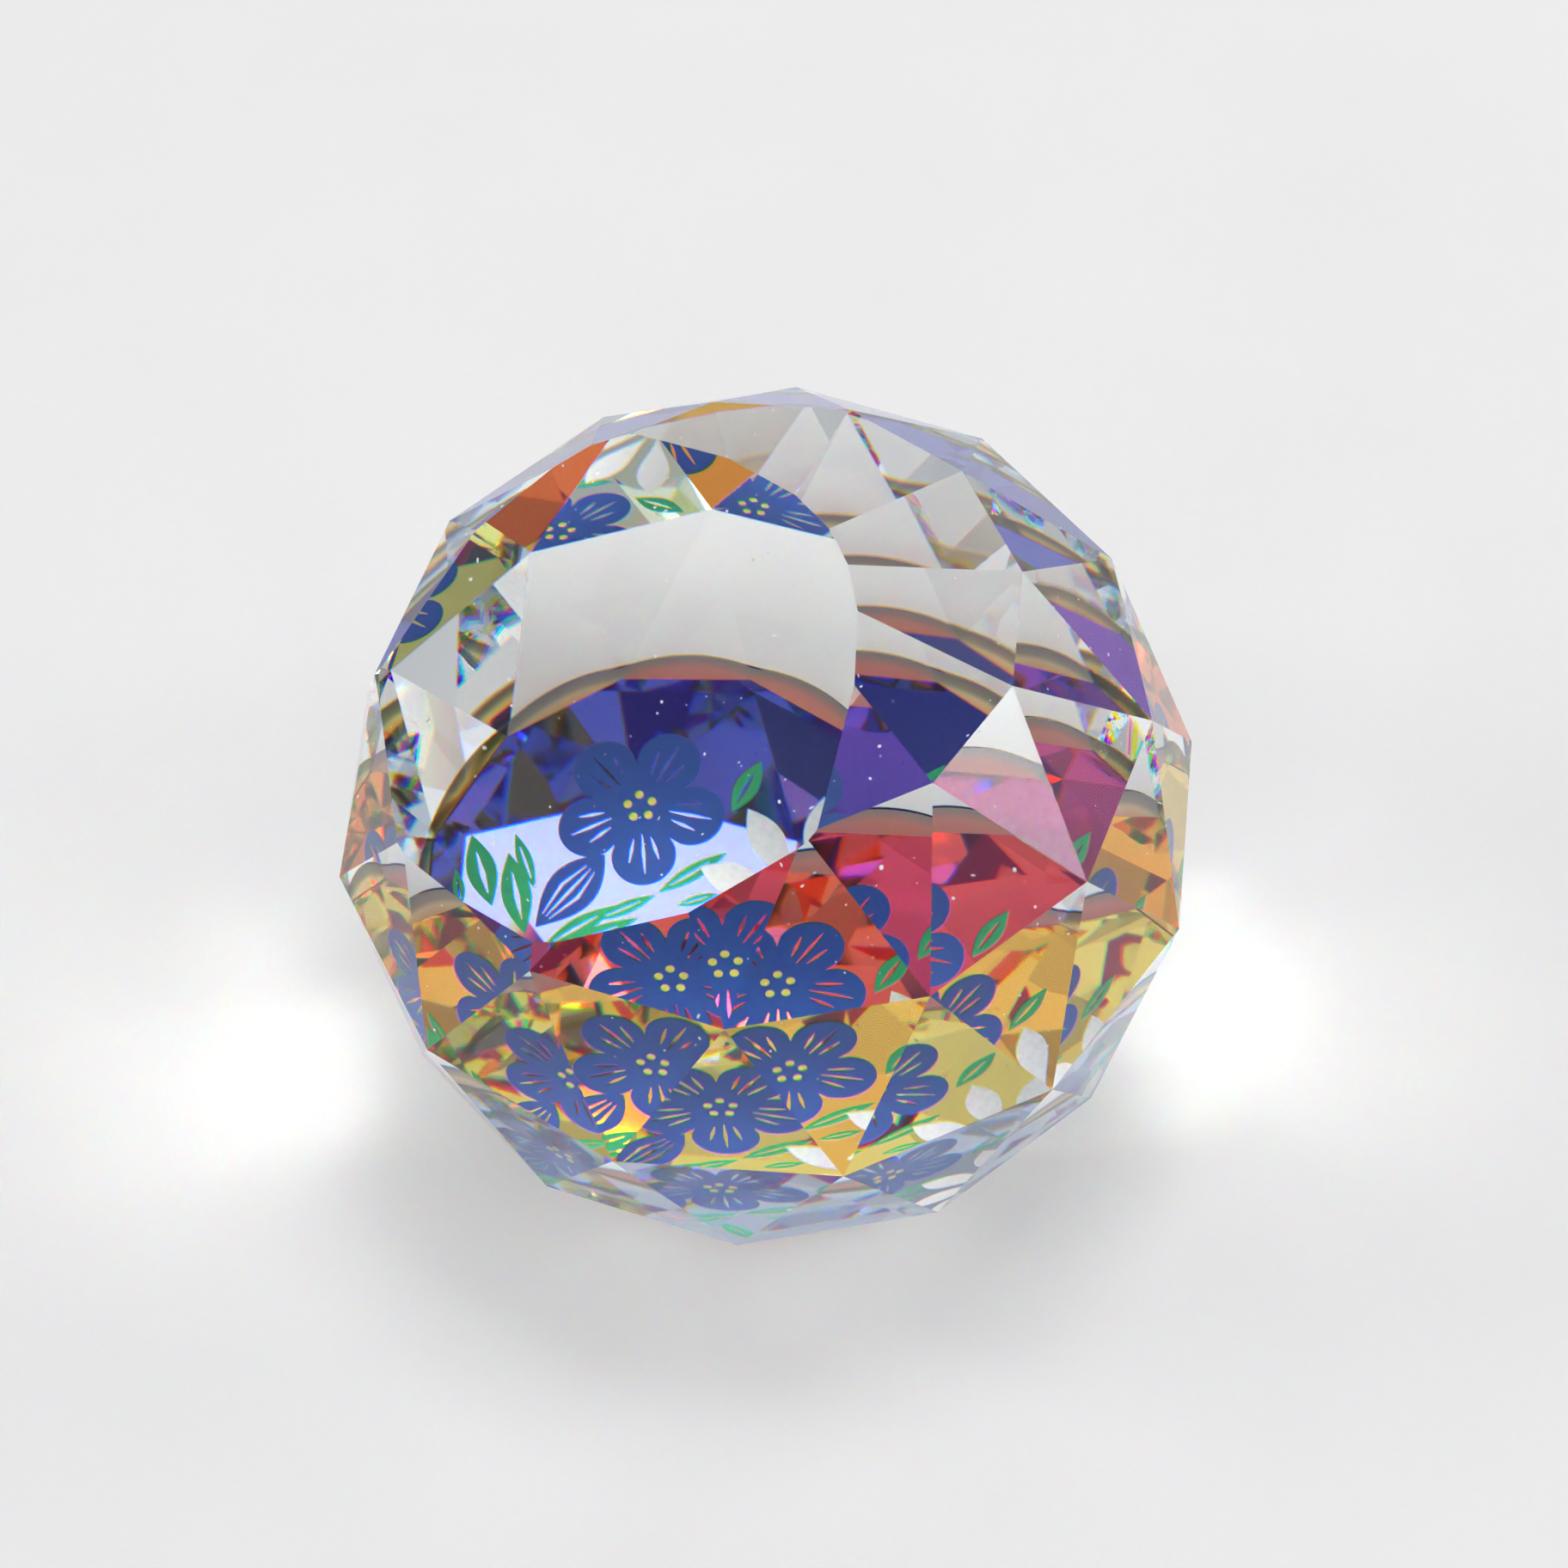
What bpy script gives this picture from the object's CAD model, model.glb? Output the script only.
"""Looks of the cut-crystal paperweight: glass, printed inks, angle-coloured coating, dust,
studio and camera. Everything is in metres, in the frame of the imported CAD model."""

import math
import random

import bmesh
import bpy
from mathutils import Matrix, Vector


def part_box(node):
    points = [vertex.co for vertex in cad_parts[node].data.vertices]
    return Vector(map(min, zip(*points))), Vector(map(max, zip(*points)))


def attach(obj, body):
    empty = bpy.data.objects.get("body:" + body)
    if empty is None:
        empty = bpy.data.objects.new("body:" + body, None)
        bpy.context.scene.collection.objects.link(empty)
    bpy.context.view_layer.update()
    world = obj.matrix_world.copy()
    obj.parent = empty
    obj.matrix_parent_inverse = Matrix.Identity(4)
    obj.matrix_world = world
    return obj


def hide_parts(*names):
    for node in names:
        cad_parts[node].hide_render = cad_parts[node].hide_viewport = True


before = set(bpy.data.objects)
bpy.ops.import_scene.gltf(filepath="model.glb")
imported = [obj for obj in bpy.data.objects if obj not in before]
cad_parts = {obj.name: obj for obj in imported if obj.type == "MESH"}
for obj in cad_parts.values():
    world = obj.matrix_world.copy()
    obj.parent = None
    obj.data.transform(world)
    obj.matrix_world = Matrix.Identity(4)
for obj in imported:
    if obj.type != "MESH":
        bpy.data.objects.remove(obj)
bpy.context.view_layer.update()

MM = 0.001

# ---------- measures taken from the CAD frame ----------
FOOT_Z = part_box("crystal_ball")[0].z
COAT_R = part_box("mirror_coating")[1].x  # the coating ends in a circle on the lower facets
BALL_R = 25 * MM
FOOT_DROP = 0.7804  # depth of the foot below the centre, as a share of the ball radius
CENTRE = Vector((0, 0, FOOT_Z + FOOT_DROP * BALL_R))


# ---------- node helpers ----------
def new_material(name):
    """A material with an empty node tree, its nodes collection and a link function."""
    material = bpy.data.materials.new(name)
    material.use_nodes = True
    tree = material.node_tree
    tree.nodes.clear()
    return material, tree.nodes, tree.links.new


def add(nodes, kind, **settings):
    """A node with properties set by name and inputs set by their socket names."""
    node = nodes.new(kind)
    for key, value in settings.items():
        if hasattr(node, key):
            setattr(node, key, value)
        else:
            node.inputs[key.replace("_", " ")].default_value = value
    return node


def coloured(nodes, kind, colour, **settings):
    """A shader node of one colour."""
    node = add(nodes, kind, **settings)
    node.inputs["Color"].default_value = (*colour, 1)
    return node


def math_node(nodes, link, operation, a, b):
    """The result socket of a Math node on two values or sockets."""
    node = add(nodes, "ShaderNodeMath", operation=operation)
    for socket, value in zip(node.inputs, (a, b)):
        if isinstance(value, (int, float)):
            socket.default_value = value
        else:
            link(value, socket)
    return node.outputs[0]


def ramp(nodes, link, factor, stops):
    """A colour ramp over (position, colour) stops, driven by a factor socket."""
    node = add(nodes, "ShaderNodeValToRGB")
    elements = node.color_ramp.elements
    while len(elements) < len(stops):
        elements.new(0.5)
    for element, (position, colour) in zip(elements, stops):
        element.position = position
        element.color = (*colour, 1)
    link(factor, node.inputs[0])
    return node.outputs["Color"]


def step_between(nodes, link, value, low, high, kind="LINEAR"):
    """A socket that goes from 0 to 1 while the value goes from low to high."""
    node = add(nodes, "ShaderNodeMapRange", interpolation_type=kind)
    node.inputs["From Min"].default_value = low
    node.inputs["From Max"].default_value = high
    link(value, node.inputs["Value"])
    return node.outputs[0]


def mix_shaders(nodes, link, share, first, second):
    """The first shader where the share, a number or a socket, is 0, and the second where it is 1."""
    node = add(nodes, "ShaderNodeMixShader")
    if isinstance(share, float):
        node.inputs[0].default_value = share
    else:
        link(share, node.inputs[0])
    link(first.outputs[0], node.inputs[1])
    link(second.outputs[0], node.inputs[2])
    return node


def facing_angle(nodes):
    """A socket with 1 - cos(angle between the ray and the surface normal)."""
    return add(nodes, "ShaderNodeLayerWeight", Blend=0.5).outputs["Facing"]


def place_on_object(nodes):
    """A socket with the point's place in the object's own frame."""
    return add(nodes, "ShaderNodeTexCoord").outputs["Object"]


def output(nodes, link, shader):
    """Make the shader the surface of the material."""
    link(shader.outputs[0], add(nodes, "ShaderNodeOutputMaterial").inputs["Surface"])


def dress(node, *materials):
    """Give a CAD node these materials in place of its plain one, and return its mesh."""
    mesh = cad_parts[node].data
    mesh.materials.clear()
    for material in materials:
        mesh.materials.append(material)
    return mesh


# ---------- crystal ----------
GLASS_IOR = 1.52
GLASS_COLOUR = (0.997, 0.999, 1.0)
# red, green and blue bend by slightly different amounts, which gives the coloured fringes
GLASS_COLOURS = [
    (1.514, (0.985, 0.0, 0.0)),
    (1.520, (0.0, 0.992, 0.0)),
    (1.527, (0.0, 0.0, 0.995)),
]
CONTACT_TOP = FOOT_Z + 0.08 * BALL_R  # above the highest point of the coating
SHRINK = 0.9998  # keeps the glass from sharing a plane with the films
EDGE_WIDTH = 0.04 * MM
EDGE_ANGLE = 3  # degrees; only edges that turn by more than this are rounded


def contact_mask(nodes, link):
    """1 where the coating or the print touches the glass, so that nothing bends light there."""
    split = add(nodes, "ShaderNodeSeparateXYZ")
    link(place_on_object(nodes), split.inputs[0])
    x, y, z = split.outputs
    x_square = math_node(nodes, link, "MULTIPLY", x, x)
    y_square = math_node(nodes, link, "MULTIPLY", y, y)
    square = math_node(nodes, link, "ADD", x_square, y_square)
    inside = math_node(nodes, link, "LESS_THAN", square, COAT_R**2)
    low = math_node(nodes, link, "LESS_THAN", z, CONTACT_TOP)
    return math_node(nodes, link, "MULTIPLY", inside, low)


def crystal_material():
    """Clear glass. Light that enters is spread a little by colour; inside, it all bends alike."""
    material, nodes, link = new_material("clear_crystal")
    entering = None
    for ior, colour in GLASS_COLOURS:
        part = coloured(nodes, "ShaderNodeBsdfGlass", colour, IOR=ior, Roughness=0.0)
        if entering is None:
            entering = part
        else:
            both = add(nodes, "ShaderNodeAddShader")
            link(entering.outputs[0], both.inputs[0])
            link(part.outputs[0], both.inputs[1])
            entering = both
    inside = coloured(nodes, "ShaderNodeBsdfGlass", GLASS_COLOUR, IOR=GLASS_IOR, Roughness=0.0)
    leaving = add(nodes, "ShaderNodeNewGeometry").outputs["Backfacing"]
    glass = mix_shaders(nodes, link, leaving, entering, inside)
    clear = add(nodes, "ShaderNodeBsdfTransparent")
    output(nodes, link, mix_shaders(nodes, link, contact_mask(nodes, link), glass, clear))
    return material


def make_crystal():
    """The glass body as in CAD, a few microns smaller so that it doesn't share a plane with the
    films, and with every facet edge very slightly rounded by polishing."""
    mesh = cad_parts["crystal_ball"].data.copy()
    to_centre = Matrix.Translation(-CENTRE)
    back = Matrix.Translation(CENTRE)
    mesh.transform(back @ Matrix.Scale(SHRINK, 4) @ to_centre)
    mesh.materials.clear()
    mesh.materials.append(crystal_material())
    crystal = bpy.data.objects.new("crystal_body", mesh)
    bpy.context.scene.collection.objects.link(crystal)
    bevel = crystal.modifiers.new("polished_edges", "BEVEL")
    bevel.width = EDGE_WIDTH
    bevel.segments = 2
    bevel.limit_method = "ANGLE"
    bevel.angle_limit = math.radians(EDGE_ANGLE)
    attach(crystal, "root")
    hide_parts("crystal_ball")


# ---------- dust ----------
DUST_GRAINS = 320
DUST_SEED = 7
UPWARDS = 0.2  # dust lies on facets whose normals rise by more than this
SMALLEST_GRAIN = 0.040 * MM  # radius, before the grain is flattened
GRAIN_SPREAD = 0.12 * MM  # the largest grains are larger by this
GRAIN_LENGTHS = (0.5, 1.6)  # shares of the radius, as are the next two
GRAIN_WIDTHS = (0.5, 1.0)
GRAIN_HEIGHT = 0.3
GRAIN_SHADES = [(0.35, (0.55, 0.56, 0.60)), (0.65, (0.90, 0.91, 0.94))]


def dust_material():
    """Pale lint and dust, some grains brighter than others."""
    material, nodes, link = new_material("dust")
    noise = add(nodes, "ShaderNodeTexNoise", Scale=900.0, Detail=2.0)
    link(place_on_object(nodes), noise.inputs["Vector"])
    grain = add(nodes, "ShaderNodeBsdfPrincipled", Roughness=0.9)
    link(ramp(nodes, link, noise.outputs["Fac"], GRAIN_SHADES), grain.inputs["Base Color"])
    output(nodes, link, grain)
    return material


def make_dust():
    """Grains of dust on the upper facets, centred on the surface so that none floats."""
    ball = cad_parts["crystal_ball"].data
    facets = [face for face in ball.polygons if face.normal.z > UPWARDS]
    weights = [face.area for face in facets]
    chooser = random.Random(DUST_SEED)
    grains = bmesh.new()
    for face in chooser.choices(facets, weights, k=DUST_GRAINS):
        corners = [ball.vertices[index].co for index in face.vertices]
        shares = [-math.log(1 - chooser.random()) for _ in corners]
        spot = sum((share * corner for share, corner in zip(shares, corners)), Vector()) / sum(shares)
        size = SMALLEST_GRAIN + GRAIN_SPREAD * chooser.random() ** 3
        turn = face.normal.to_track_quat("Z", "Y").to_matrix().to_4x4()
        spin = Matrix.Rotation(chooser.uniform(0, math.pi), 4, "Z")
        length = chooser.uniform(*GRAIN_LENGTHS)
        width = chooser.uniform(*GRAIN_WIDTHS)
        flatten = Matrix.Diagonal((length, width, GRAIN_HEIGHT, 1))
        place = Matrix.Translation(spot) @ turn @ spin @ flatten
        bmesh.ops.create_icosphere(grains, subdivisions=1, radius=size, matrix=place)
    mesh = bpy.data.meshes.new("dust")
    grains.to_mesh(mesh)
    grains.free()
    mesh.materials.append(dust_material())
    dust = bpy.data.objects.new("dust", mesh)
    bpy.context.scene.collection.objects.link(dust)
    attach(dust, "root")


# ---------- mirror coating ----------
MIRROR_ROUGHNESS = 0.02
# reflected colour by facing = 1 - cos(angle inside the glass)
REFLECTED = [
    (0.000, (0.17, 0.20, 0.60)),
    (0.098, (0.115, 0.13, 0.54)),
    (0.111, (0.035, 0.055, 0.44)),
    (0.122, (0.13, 0.05, 0.50)),
    (0.160, (0.29, 0.045, 0.36)),
    (0.211, (0.74, 0.07, 0.11)),
    (0.250, (0.90, 0.22, 0.05)),
    (0.290, (0.94, 0.46, 0.06)),
    (0.342, (0.92, 0.70, 0.15)),
    (0.380, (0.84, 0.80, 0.28)),
    (0.420, (0.80, 0.85, 0.46)),
    (0.465, (0.76, 0.83, 0.66)),
    (0.510, (0.46, 0.55, 0.74)),
    (0.600, (0.52, 0.60, 0.74)),
    (0.800, (0.72, 0.79, 0.86)),
]
# colour let through on the rim, from the edge of the foot outwards
PASSED_STEEP = [
    (0.00, (0.90, 0.38, 0.27)),
    (0.50, (0.82, 0.38, 0.28)),
    (0.74, (0.52, 0.36, 0.28)),
    (0.90, (0.34, 0.34, 0.31)),
    (1.00, (0.80, 0.84, 0.88)),
]
PASSED_SLANT = [
    (0.00, (0.95, 0.62, 0.32)),
    (0.38, (0.95, 0.84, 0.52)),
    (0.58, (0.46, 0.46, 0.34)),
    (0.90, (0.28, 0.32, 0.32)),
    (1.00, (0.85, 0.88, 0.92)),
]
RIM_START = 0.930  # radius where the rim colours start, as a share of the coating's radius
RIM_SLANT = (0.12, 0.16)  # facing values between which the steep colours turn into the slant ones
RIM_MIRROR = 0.10  # share of the light that the rim reflects
OUTER_COLOUR = (0.95, 0.95, 0.95)
LEVEL = 0.999  # faces whose normals are more upright than this are level
RISING = 0.1  # other faces whose normals rise by more than this lie against the glass
# sockets of a Mix node, by kind of data: first input, second input, result
MIX_SOCKETS = {"FLOAT": (2, 3, 0), "RGBA": (6, 7, 2)}


def coating_mirror(nodes, link):
    """A mirror whose colour follows the angle of view."""
    mirror = add(nodes, "ShaderNodeBsdfAnisotropic", Roughness=MIRROR_ROUGHNESS)
    link(ramp(nodes, link, facing_angle(nodes), REFLECTED), mirror.inputs["Color"])
    return mirror


def mirror_material():
    """The interference mirror on the flat foot."""
    material, nodes, link = new_material("coating_mirror")
    output(nodes, link, coating_mirror(nodes, link))
    return material


def rim_material():
    """The same mirror where it wraps on to the lower facets and lets most of the light through."""
    material, nodes, link = new_material("coating_rim")
    flat = add(nodes, "ShaderNodeVectorMath", operation="MULTIPLY")
    flat.inputs[1].default_value = (1, 1, 0)
    link(place_on_object(nodes), flat.inputs[0])
    radius = add(nodes, "ShaderNodeVectorMath", operation="LENGTH")
    link(flat.outputs[0], radius.inputs[0])
    outwards = step_between(nodes, link, radius.outputs["Value"], RIM_START * COAT_R, COAT_R)
    tint = add(nodes, "ShaderNodeMix", data_type="RGBA")
    first, second, result = MIX_SOCKETS["RGBA"]
    link(step_between(nodes, link, facing_angle(nodes), *RIM_SLANT), tint.inputs[0])
    link(ramp(nodes, link, outwards, PASSED_STEEP), tint.inputs[first])
    link(ramp(nodes, link, outwards, PASSED_SLANT), tint.inputs[second])
    clear = add(nodes, "ShaderNodeBsdfTransparent")
    link(tint.outputs[result], clear.inputs["Color"])
    output(nodes, link, mix_shaders(nodes, link, RIM_MIRROR, clear, coating_mirror(nodes, link)))
    return material


def outer_material():
    """The outer skin of the rim, where light passes between the coating and the air."""
    material, nodes, link = new_material("coating_outside")
    skin = coloured(
        nodes, "ShaderNodeBsdfGlass", OUTER_COLOUR, IOR=GLASS_IOR, Roughness=MIRROR_ROUGHNESS
    )
    output(nodes, link, skin)
    return material


def dress_coating():
    """Mirror on the flat faces, half-clear film on the rim, and an outer skin."""
    mesh = dress("mirror_coating", mirror_material(), rim_material(), outer_material())
    for face in mesh.polygons:
        if abs(face.normal.z) > LEVEL:
            face.material_index = 0
        elif face.normal.z > RISING:
            face.material_index = 1
        else:
            face.material_index = 2


# ---------- inks and lacquer ----------
INKS = {
    "gentian_print": (0.024, 0.085, 0.37),
    "stamen_print": (0.75, 0.70, 0.14),
    "leaf_print": (0.03, 0.42, 0.17),
    "edelweiss_print": (0.80, 0.82, 0.82),
    "edelweiss_heart_print": (0.72, 0.55, 0.08),
}
# facing values between which a print seen from inside the glass turns into a plain mirror
INK_FADE = (0.47, 0.60)
INK_FADE_COLOUR = (0.45, 0.52, 0.66)
LACQUER_COLOUR = (0.48, 0.49, 0.51)


def film_material(name, colour, variation, scale, roughness, fades=False):
    """A matte film whose colour varies a little in fine blotches. Ink under glass fades out at
    grazing angles, where the glass reflects everything."""
    material, nodes, link = new_material(name)
    noise = add(nodes, "ShaderNodeTexNoise", Scale=scale, Detail=4.0)
    link(place_on_object(nodes), noise.inputs["Vector"])
    dark = tuple(c * (1 - variation) for c in colour)
    light = tuple(min(1, c * (1 + variation)) for c in colour)
    paint = ramp(nodes, link, noise.outputs["Fac"], [(0.3, dark), (0.7, light)])
    film = add(nodes, "ShaderNodeBsdfPrincipled", Roughness=roughness, Specular_IOR_Level=0.1)
    link(paint, film.inputs["Base Color"])
    if fades:
        grazing = step_between(nodes, link, facing_angle(nodes), *INK_FADE, kind="SMOOTHSTEP")
        mirror = coloured(
            nodes, "ShaderNodeBsdfAnisotropic", INK_FADE_COLOUR, Roughness=MIRROR_ROUGHNESS
        )
        film = mix_shaders(nodes, link, grazing, film, mirror)
    output(nodes, link, film)
    return material


def dress_films():
    """Inks on the prints, and the lacquer that the weight stands on."""
    for node, colour in INKS.items():
        ink = film_material(
            node + "_ink", colour, variation=0.08, scale=2500, roughness=0.6, fades=True
        )
        dress(node, ink)
    lacquer = film_material(
        "grey_lacquer", LACQUER_COLOUR, variation=0.06, scale=1800, roughness=0.7
    )
    dress("lacquer_backing", lacquer)


# ---------- studio ----------
FLOOR_HALF = 1.5
FLOOR_COLOUR = (0.90, 0.888, 0.885)
LIGHT_DISTANCE = 1.2
# name, azimuth, elevation, width, height, radiance
SOFTBOXES = [
    ("top_softbox", 144, 76.4, 0.50, 0.36, 5.3),
    ("right_softbox", 98, 27, 0.38, 0.38, 3.2),
    ("left_softbox", -98, 33, 0.33, 0.33, 4.0),
    ("low_light", 80, 14, 0.22, 0.22, 5.0),
]
ROOM_LEVEL = 0.83
ROOM_TINT = (0.985, 1.0, 1.015)
BACKDROP_COLOUR = (0.84, 0.84, 0.85)
# dimmer parts of the room: azimuth, elevation, full inside this angle, gone outside this, level
DIM_SIDES = [
    (0, 20, 35, 80, 0.60),
    (-117, 43, 14, 30, 0.45),
    (0, 24, 9, 19, 0.28),
    (40, 38, 8, 26, 0.28),
    (-40, 28, 6, 18, 0.20),
    (114, 58, 10, 22, 0.35),
]


def make_floor():
    """A plain pale floor under the foot."""
    mesh = bpy.data.meshes.new("studio_floor")
    signs = ((-1, -1), (1, -1), (1, 1), (-1, 1))
    corners = [(x * FLOOR_HALF, y * FLOOR_HALF, 0) for x, y in signs]
    mesh.from_pydata(corners, [], [(0, 1, 2, 3)])
    paint = film_material("pale_floor", FLOOR_COLOUR, variation=0.01, scale=60, roughness=0.9)
    mesh.materials.append(paint)
    floor = bpy.data.objects.new("studio_floor", mesh)
    bpy.context.scene.collection.objects.link(floor)


def towards(azimuth, elevation):
    """Unit vector from the ball. Azimuth 0 is the viewer's side, 90 the right."""
    a, e = math.radians(azimuth), math.radians(elevation)
    return Vector((math.sin(a) * math.cos(e), -math.cos(a) * math.cos(e), math.sin(e)))


def softbox(name, azimuth, elevation, width, height, radiance):
    """A rectangular light that faces the ball."""
    light = bpy.data.lights.new(name, "AREA")
    light.shape = "RECTANGLE"
    light.size = width
    light.size_y = height
    light.energy = radiance * math.pi * width * height
    lamp = bpy.data.objects.new(name, light)
    bpy.context.scene.collection.objects.link(lamp)
    away = towards(azimuth, elevation)
    lamp.location = CENTRE + LIGHT_DISTANCE * away
    lamp.rotation_mode = "QUATERNION"
    lamp.rotation_quaternion = away.to_track_quat("Z", "Y")
    lamp.visible_camera = False


def room_level(nodes, link):
    """A socket with the brightness of the room by direction."""
    direction = add(nodes, "ShaderNodeTexCoord").outputs["Generated"]
    first, second, result = MIX_SOCKETS["FLOAT"]
    level = None
    for azimuth, elevation, inner, outer, dim in DIM_SIDES:
        along = add(nodes, "ShaderNodeVectorMath", operation="DOT_PRODUCT")
        along.inputs[1].default_value = towards(azimuth, elevation)
        link(direction, along.inputs[0])
        low, high = math.cos(math.radians(outer)), math.cos(math.radians(inner))
        edge = step_between(nodes, link, along.outputs["Value"], low, high, kind="SMOOTHSTEP")
        blend = add(nodes, "ShaderNodeMix", data_type="FLOAT")
        link(edge, blend.inputs[0])
        blend.inputs[first].default_value = ROOM_LEVEL
        blend.inputs[second].default_value = dim
        if level is not None:
            link(level, blend.inputs[first])
        level = blend.outputs[result]
    return level


def make_world():
    """The room as the glass and the floor see it, and a plain backdrop for the camera."""
    world = bpy.data.worlds.new("studio")
    world.use_nodes = True
    nodes, link = world.node_tree.nodes, world.node_tree.links.new
    nodes.clear()
    room = coloured(nodes, "ShaderNodeBackground", ROOM_TINT)
    link(room_level(nodes, link), room.inputs["Strength"])
    backdrop = coloured(nodes, "ShaderNodeBackground", BACKDROP_COLOUR)
    seen = add(nodes, "ShaderNodeLightPath").outputs["Is Camera Ray"]
    both = mix_shaders(nodes, link, seen, room, backdrop)
    link(both.outputs[0], add(nodes, "ShaderNodeOutputWorld").inputs["Surface"])
    bpy.context.scene.world = world


# ---------- camera, solved from the corners of the facets ----------
CAMERA_ELEVATION = 56.4
CAMERA_DISTANCE = 14.58 * BALL_R
CAMERA_ROLL = -3.02
CAMERA_LENS = 144.66
CAMERA_SHIFT = (0.0103, 0.0192)


def make_camera():
    """The camera on the viewer's side, turned a little about its own axis."""
    elevation = math.radians(CAMERA_ELEVATION)
    back = Vector((0, -math.cos(elevation), math.sin(elevation)))
    data = bpy.data.cameras.new("camera")
    data.lens = CAMERA_LENS
    data.sensor_width = 36
    data.shift_x, data.shift_y = CAMERA_SHIFT
    data.clip_start = 0.01
    camera = bpy.data.objects.new("camera", data)
    bpy.context.scene.collection.objects.link(camera)
    camera.rotation_mode = "QUATERNION"
    camera.location = CENTRE + CAMERA_DISTANCE * back
    aim = back.to_track_quat("Z", "Y").to_matrix().to_4x4()
    roll = Matrix.Rotation(math.radians(CAMERA_ROLL), 4, "Z")
    camera.rotation_quaternion = (aim @ roll).to_quaternion()
    bpy.context.scene.camera = camera


def set_rendering():
    """Enough bounces for light that is reflected many times inside the glass."""
    scene = bpy.context.scene
    scene.view_settings.view_transform = "Standard"
    cycles = scene.cycles
    cycles.max_bounces = 24
    cycles.transmission_bounces = 24
    cycles.glossy_bounces = 20
    cycles.diffuse_bounces = 4
    cycles.transparent_max_bounces = 24
    cycles.caustics_reflective = True
    cycles.caustics_refractive = True
    cycles.blur_glossy = 0
    cycles.sample_clamp_indirect = 12
    cycles.use_denoising = True


make_crystal()
make_dust()
dress_coating()
dress_films()
make_floor()
for box in SOFTBOXES:
    softbox(*box)
make_world()
make_camera()
set_rendering()
